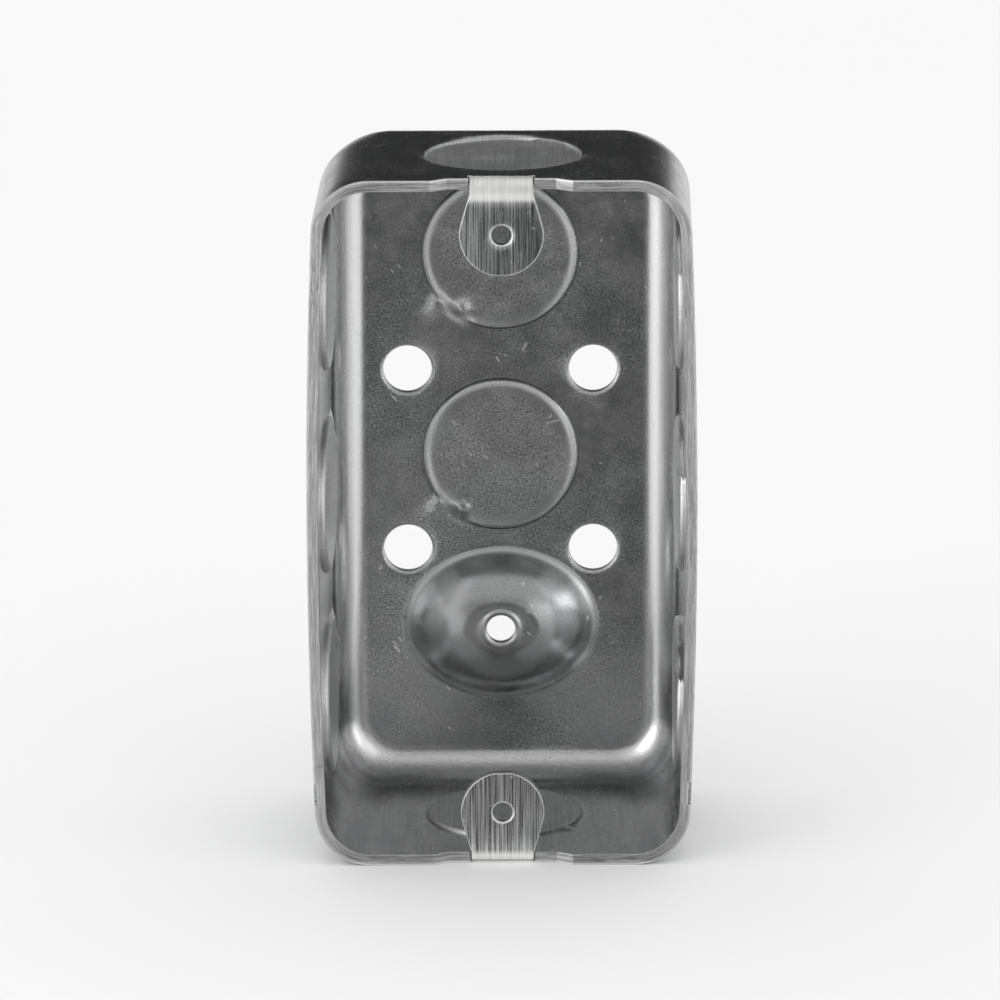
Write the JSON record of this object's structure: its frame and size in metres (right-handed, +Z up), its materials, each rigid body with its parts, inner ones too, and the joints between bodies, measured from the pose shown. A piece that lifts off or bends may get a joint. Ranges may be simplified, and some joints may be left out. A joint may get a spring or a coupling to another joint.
{
  "type": "handy box",
  "caption": "One-piece drawn steel electrical box, open at the front, with round knockouts, tapped cover ears, mounting holes and a raised grounding bump.",
  "frame": {"origin": "centre of the four mounting holes, on the outside of the floor", "axes": "+Z up the length of the box, +X to the right seen from the open front, +Y out of the back; the open front faces -Y; the box stands on its lower end wall"},
  "size_m": [0.0544, 0.0381, 0.0988],
  "materials": {
    "zinc_plated_steel": "zinc plated, fine grain, semi-bright"
  },
  "bodies": {
    "root": {"box_body": "zinc_plated_steel"}
  },
  "joints": []
}
